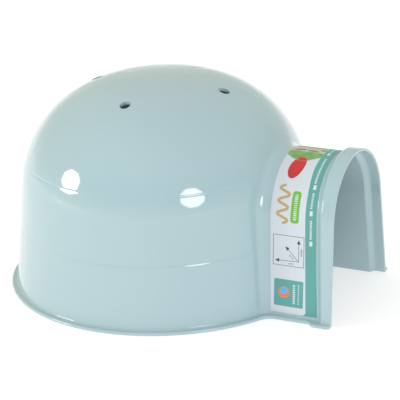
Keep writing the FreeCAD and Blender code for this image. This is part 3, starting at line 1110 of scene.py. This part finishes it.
def finish(name, rgb, rough, drift=0.04, scale=30.0, bump=0.02, coat=0.0, index=1.5):
    made = bpy.data.materials.new(name)
    made.use_nodes = True
    tree = made.node_tree
    place = add_node(tree, "ShaderNodeTexCoord").outputs["Object"]
    cloud = add_node(tree, "ShaderNodeTexNoise", [("Vector", place), ("Scale", scale), ("Detail", 3.0)])
    cloud = cloud.outputs["Fac"]
    gloss = add_node(tree, "ShaderNodeMapRange", [("Value", cloud), ("To Min", rough * (1 - GLOSS_DRIFT)),
                                                  ("To Max", rough * (1 + GLOSS_DRIFT))])
    fine = add_node(tree, "ShaderNodeTexNoise", [("Vector", place), ("Scale", GRAIN)])
    ripple = add_node(tree, "ShaderNodeBump", [("Strength", bump), ("Distance", RIPPLE),
                                               ("Height", fine.outputs["Fac"])])
    shader = tree.nodes["Principled BSDF"]
    for socket, output in (("Base Color", drifting_colour(tree, cloud, rgb, drift)),
                           ("Roughness", gloss.outputs[0]), ("Normal", ripple.outputs[0])):
        tree.links.new(output, shader.inputs[socket])
    shader.inputs["Coat Weight"].default_value = coat
    shader.inputs["IOR"].default_value = index
    return made


print("a pale grey in linear values:", [round(c, 3) for c in linear((200, 200, 200))])


# %% [markdown]
# ## Finishes of the plastic and the inks
#
# The shell is glossy pale ice-blue plastic, smooth enough to mirror a lamp, so it has
# a low roughness and a clear coat on top. The label is satin paper with satin inks,
# and its landscape is mottled by a stronger, finer drift of colour.

# %% Make the finishes
PLASTIC = finish("igloo_plastic", (162, 188, 194), 0.07, drift=0.012, scale=14, bump=0.01,
                 coat=0.7, index=1.58)
PAPER_WHITE = finish("label_white", (207, 214, 221), 0.38, drift=0.02)
TEAL = finish("label_teal", (91, 160, 154), 0.38)
INK = finish("label_ink", (58, 60, 66), 0.45)
GOLD = finish("label_gold", (190, 162, 104), 0.4)
GREEN = finish("label_green", (110, 184, 46), 0.38)
RED = finish("label_red", (200, 34, 40), 0.36)
WARM = finish("label_warm", (236, 120, 84), 0.38)
BLUE = finish("label_blue", (84, 178, 220), 0.38)
MEADOW = finish("label_meadow", (112, 168, 92), 0.4, drift=0.3, scale=260)
CREAM = finish("label_cream", (196, 190, 178), 0.4, drift=0.14, scale=180)
BROWN = finish("label_brown", (150, 128, 112), 0.42, drift=0.2, scale=260)
for obj, material in ((shell, PLASTIC), (label, PAPER_WHITE), (strip, TEAL), (square, TEAL),
                      (disc_low, WARM), (disc_top, BLUE), (ink, INK), (gold, GOLD), (green_bar, GREEN),
                      (badge, RED), (field, MEADOW), (far_field, MEADOW), (sky, CREAM), (soil, BROWN)):
    obj.data.materials.clear()
    obj.data.materials.append(material)
print("finishes:", len([m for m in bpy.data.materials if m.name.startswith(("label", "igloo"))]))


# %% [markdown]
# ## From the tree to a piece
#
# Each row is made by the tree on an empty mesh, then kept as a plain mesh of its own,
# which exports anywhere. An input is set through its identifier, which stays the same
# when an input is moved or renamed.

# %% Make a run of marks
def run_of_marks(name, x, s, count, pitch, width, shortest, longest, material, seed):
    """A row of printed marks as a mesh object; `x`, `s` and lengths are in millimetres."""
    holder = bpy.data.objects.new(name + "_maker", bpy.data.meshes.new(name + "_maker"))
    bpy.context.scene.collection.objects.link(holder)
    modifier = holder.modifiers.new("marks", "NODES")
    modifier.node_group = MARKS
    ids = {item.name: item.identifier for item in MARKS.interface.items_tree if item.in_out == "INPUT"}
    values = {"Path": path_object, "Count": count, "Across": (x + AXIS_X) * MM, "First": s * MM,
              "Pitch": pitch * MM, "Width": width * MM, "Shortest": shortest * MM, "Longest": longest * MM,
              "Lift": (PAPER - 0.005) * MM, "Thickness": 0.00003, "Seed": seed, "Material": material}
    for key, value in values.items():
        modifier[ids[key]] = value
    holder.update_tag()
    bpy.context.view_layer.update()
    evaluated = holder.evaluated_get(bpy.context.evaluated_depsgraph_get())
    mesh = bpy.data.meshes.new_from_object(evaluated)
    holder.modifiers.remove(modifier)
    bpy.data.objects.remove(holder)
    mesh.name = name
    obj = bpy.data.objects.new(name, mesh)
    bpy.context.scene.collection.objects.link(obj)
    return obj


print("a run's ink starts", round(PAPER - 0.005, 3), "mm over the moulding")

# %% [markdown]
# ## The rows of marks
#
# Along the edge strip stand rows of marks, each after a short pill. Smaller rows fill
# the square, the green bar and the size drawing. The side away from the camera has
# six long rows and a block of bars. They stand in for the words and the bar code that
# such a label carries, which aren't copied.

# %% Print the runs of marks
STRIP_ROWS = ((114.3, 51.2, 11), (113.9, 69.4, 9), (113.3, 84.6, 19), (112.5, 113.0, 19), (114.1, 146.0, 12))
STRIP_PILLS = ((114.5, 48.2), (114.1, 66.4), (113.7, 81.9), (112.7, 109.6), (113.9, 142.6))
FAR_ROWS = (92.6, 95.4, 98.2, 101.0, 103.8, 106.6)
marks = []
for k, (x, s, count) in enumerate(STRIP_ROWS):
    marks.append(run_of_marks(f"label_strip_marks_{k}", x, s, count, 1.06, 1.25, 0.5, 0.85,
                              PAPER_WHITE, 3 + k))
for k, (x, s) in enumerate(STRIP_PILLS):
    marks.append(run_of_marks(f"label_strip_pill_{k}", x, s, 1, 1.0, 1.9, 2.9, 3.0, PAPER_WHITE, 30 + k))
marks.append(run_of_marks("label_square_marks_a", 104.4, 10.4, 9, 1.35, 1.5, 0.6, 1.0, PAPER_WHITE, 11))
marks.append(run_of_marks("label_square_marks_b", 107.3, 10.2, 14, 0.9, 0.8, 0.4, 0.6, PAPER_WHITE, 12))
marks.append(run_of_marks("label_green_marks", 103.9, 61.6, 13, 1.2, 2.0, 0.5, 0.8, PAPER_WHITE, 13))
marks.append(run_of_marks("label_drawing_marks_a", 108.6, 40.0, 6, 0.75, 0.7, 0.3, 0.5, INK, 14))
for k, x in enumerate(FAR_ROWS):
    marks.append(run_of_marks(f"label_far_marks_{k}", x, 136.5, 44 - 3 * (k % 2), 1.1, 0.9, 0.4, 0.85,
                              INK, 40 + k))
marks.append(run_of_marks("label_far_bars", 99.3, 192.0, 16, 1.15, 12.0, 0.25, 0.75, INK, 50))
bpy.data.objects.remove(path_object)
print("runs of marks:", len(marks), "faces in the first:", len(marks[0].data.polygons))

# %% [markdown]
# ## Everything rides on the part
#
# Nothing on this object moves, so every piece rides on the one body. The smooth mesh
# stands for the CAD shell, and the paper for the CAD label, so those CAD nodes are
# hidden. Parenting by hand would work too; these calls also make the body's empty.

# %% Tie the pieces to the CAD part
prints = [strip, square, disc_low, disc_top, ink, gold, green_bar, badge, field, far_field, sky, soil] + marks
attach(shell, "root")
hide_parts("igloo_shell")
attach(label, "root")
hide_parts("wrap_label")
for piece in prints:
    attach(piece, "root")
print("pieces:", 2 + len(prints))

# %% [markdown]
# ## Studio floor
#
# The house stands on a pale seamless floor. A plane twelve metres across does for it,
# with a matt finish, because its far edge is then out of sight.

# %% Floor
FLOOR_HALF = 6
floor_mesh = bpy.data.meshes.new("studio_floor")
floor_mesh.from_pydata([(-FLOOR_HALF, -FLOOR_HALF, 0), (FLOOR_HALF, -FLOOR_HALF, 0),
                        (FLOOR_HALF, FLOOR_HALF, 0), (-FLOOR_HALF, FLOOR_HALF, 0)], [], [(0, 1, 2, 3)])
floor = bpy.data.objects.new("studio_floor", floor_mesh)
bpy.context.scene.collection.objects.link(floor)
FLOOR_WHITE = finish("floor_white", (200, 200, 200), 0.9, drift=0.004, scale=1.0)
floor_mesh.materials.append(FLOOR_WHITE)
print("floor:", 2 * FLOOR_HALF, "m across")

# %% [markdown]
# ## A floor that glows a little
#
# In a studio the floor is lit evenly from all round, which softens the shadow beside
# the house. More lamps could do this; a little light given off by the floor itself is
# simpler. It stops at the dome's wall, so that the vents stay dark, and fades from
# the doorway inwards.

# %% Light from the floor
GLOW = 0.54
AROUND_DOME, FROM_DOORWAY = (0.096, 0.099), (0.010, 0.100)
floor_tree = FLOOR_WHITE.node_tree
on_floor = add_node(floor_tree, "ShaderNodeTexCoord").outputs["Object"]
from_axis = add_node(floor_tree, "ShaderNodeVectorMath", [(0, on_floor), (1, (AXIS_X * MM, 0.0, 0.0))],
                     operation="DISTANCE")
along_floor = add_node(floor_tree, "ShaderNodeSeparateXYZ", [(0, on_floor)])
around, doorway = (add_node(floor_tree, "ShaderNodeMapRange", [
    ("Value", measure), ("From Min", low), ("From Max", high), ("To Max", GLOW)], interpolation_type=kind)
    for measure, (low, high), kind in ((from_axis.outputs["Value"], AROUND_DOME, "LINEAR"),
                                       (along_floor.outputs["X"], FROM_DOORWAY, "SMOOTHSTEP")))
glow = add_node(floor_tree, "ShaderNodeMath", [(0, around.outputs[0]), (1, doorway.outputs[0])],
                operation="MAXIMUM")
floor_shader = floor_tree.nodes["Principled BSDF"]
floor_shader.inputs["Emission Color"].default_value = (1, 1, 1, 1)
floor_tree.links.new(glow.outputs[0], floor_shader.inputs["Emission Strength"])
print("the floor gives off", GLOW, "from", AROUND_DOME[1] * 1000, "mm round the axis")

# %% [markdown]
# ## Sky
#
# Glossy plastic shows whatever is round it, so the sky is part of its look. Two
# ramps of colour run from the horizon up: a cool one in front, as bright as the floor
# where they meet, and a warmer, dimmer one behind. They are blended by direction. A
# picture of a studio could serve, but ramps have no grain and are easy to change.

# %% Sky in front and behind
SKY_HEIGHTS = (0.0, 0.12, 0.3, 0.55, 0.85)
SKY_FRONT = ((0.95, 0.96, 0.95), (0.78, 0.79, 0.79), (0.62, 0.68, 0.71), (0.84, 0.90, 0.93), (1, 1, 1))
SKY_BACK = ((0.90, 0.92, 0.88), (0.70, 0.73, 0.64), (0.67, 0.68, 0.57), (0.78, 0.77, 0.66),
            (0.96, 0.95, 0.91))
TO_CAMERA = (0.461, -0.887, 0.0)
world = bpy.data.worlds.new("studio_sky")
bpy.context.scene.world = world
world.use_nodes = True
sky_tree = world.node_tree
direction = add_node(sky_tree, "ShaderNodeTexCoord").outputs["Generated"]
rise = add_node(sky_tree, "ShaderNodeSeparateXYZ", [(0, direction)]).outputs["Z"]


def sky_side(colours):
    """Colour of one side of the sky, from the horizon up."""
    ramp = add_node(sky_tree, "ShaderNodeValToRGB", [(0, rise)])
    while len(ramp.color_ramp.elements) < len(SKY_HEIGHTS):
        ramp.color_ramp.elements.new(0.5)
    for element, height, colour in zip(ramp.color_ramp.elements, SKY_HEIGHTS, colours):
        element.position = height
        element.color = (*colour, 1)
    return ramp.outputs[0]


facing = add_node(sky_tree, "ShaderNodeVectorMath", [(0, direction), (1, TO_CAMERA)], operation="DOT_PRODUCT")
share_front = add_node(sky_tree, "ShaderNodeMapRange", [
    ("Value", facing.outputs["Value"]), ("From Min", -0.25), ("From Max", 0.25)])
blend = add_node(sky_tree, "ShaderNodeMix", [(0, share_front.outputs[0]), (6, sky_side(SKY_BACK)),
                                             (7, sky_side(SKY_FRONT))], data_type="RGBA")
sky_tree.links.new(blend.outputs[2], sky_tree.nodes["Background"].inputs["Color"])
sky_tree.nodes["Background"].inputs["Strength"].default_value = 1.0
print("sky nodes:", len(sky_tree.nodes))


# %% [markdown]
# ## Soft boxes
#
# Two eight-sided soft boxes stand low on either side of the camera, and the plastic
# mirrors them as small bright octagons. A lamp of Blender's own shines as a disc or a
# rectangle, so each box is an octagon of glowing mesh, turned to face the house.

# %% Two soft boxes
BOX_SIDES = 8
BOX_AWAY = 1.6


def soft_box(name, aim, azimuth, elevation, radius, strength, tint):
    a, e = math.radians(azimuth), math.radians(elevation)
    away = Vector((math.cos(a) * math.cos(e), math.sin(a) * math.cos(e), math.sin(e)))
    corners = [math.radians(22.5 + 45 * k) for k in range(BOX_SIDES)]
    mesh = bpy.data.meshes.new(name)
    mesh.from_pydata([(radius * math.cos(c), radius * math.sin(c), 0) for c in corners], [],
                     [tuple(range(BOX_SIDES))])
    lamp = bpy.data.objects.new(name, mesh)
    bpy.context.scene.collection.objects.link(lamp)
    lamp.location = Vector(aim) + BOX_AWAY * away
    lamp.rotation_mode = "QUATERNION"
    lamp.rotation_quaternion = (-away).to_track_quat("Z", "Y")
    light = bpy.data.materials.new(name + "_glow")
    light.use_nodes = True
    tree = light.node_tree
    tree.nodes.remove(tree.nodes["Principled BSDF"])
    emit = add_node(tree, "ShaderNodeEmission", [("Strength", strength), ("Color", (*tint, 1))])
    tree.links.new(emit.outputs[0], tree.nodes["Material Output"].inputs[0])
    mesh.materials.append(light)
    print(name, "at", [round(v, 2) for v in lamp.location])


soft_box("soft_box_left", (-0.0332, -0.0815, 0.0864), -146.0, 14.5, 0.27, 14.0, (1.0, 0.93, 0.84))
soft_box("soft_box_right", (0.0393, -0.0669, 0.0797), -40.5, 14.0, 0.285, 7.0, (1.0, 0.99, 0.96))

# %% [markdown]
# ## Camera
#
# A long lens a little over a metre away, looking down at about twenty degrees and
# rolled slightly. A long lens keeps the dome's proportions true. The view transform
# is the plain one, so white stays white.

# %% Camera
LENS, SENSOR = 163.45, 36.0
AIM_HEIGHT, AWAY, SLIDE_RIGHT, SLIDE_UP = 60, 1134.64, 21.339, -12.659
az, el, roll = (math.radians(v) for v in (27.476, 20.662, -2.787))
forward = Vector((-math.sin(az) * math.cos(el), math.cos(az) * math.cos(el), -math.sin(el)))
right = Vector((math.cos(az), math.sin(az), 0))
up = right.cross(forward)
camera_data = bpy.data.cameras.new("camera")
camera_data.lens = LENS
camera_data.sensor_width = SENSOR
camera = bpy.data.objects.new("camera", camera_data)
bpy.context.scene.collection.objects.link(camera)
spot = Vector((AXIS_X, 0, AIM_HEIGHT)) - forward * AWAY + right * SLIDE_RIGHT + up * SLIDE_UP
turned_right = right * math.cos(roll) + up * math.sin(roll)
turned_up = up * math.cos(roll) - right * math.sin(roll)
axes = Matrix((turned_right, turned_up, -forward)).transposed()
camera.matrix_world = Matrix.Translation(spot * MM) @ axes.to_4x4()
camera_data.dof.use_dof = False
camera_data.clip_start, camera_data.clip_end = 0.05, 20.0
bpy.context.scene.camera = camera
bpy.context.scene.view_settings.view_transform = "Standard"
bpy.context.scene.view_settings.look = "None"
print("camera at", [round(v, 3) for v in camera.location])

# %% [markdown]
# ## Finish
#
# Last, the view layer is brought up to date. The looks have to fill the same box as
# the CAD part.

# %% Finish
bpy.context.view_layer.update()
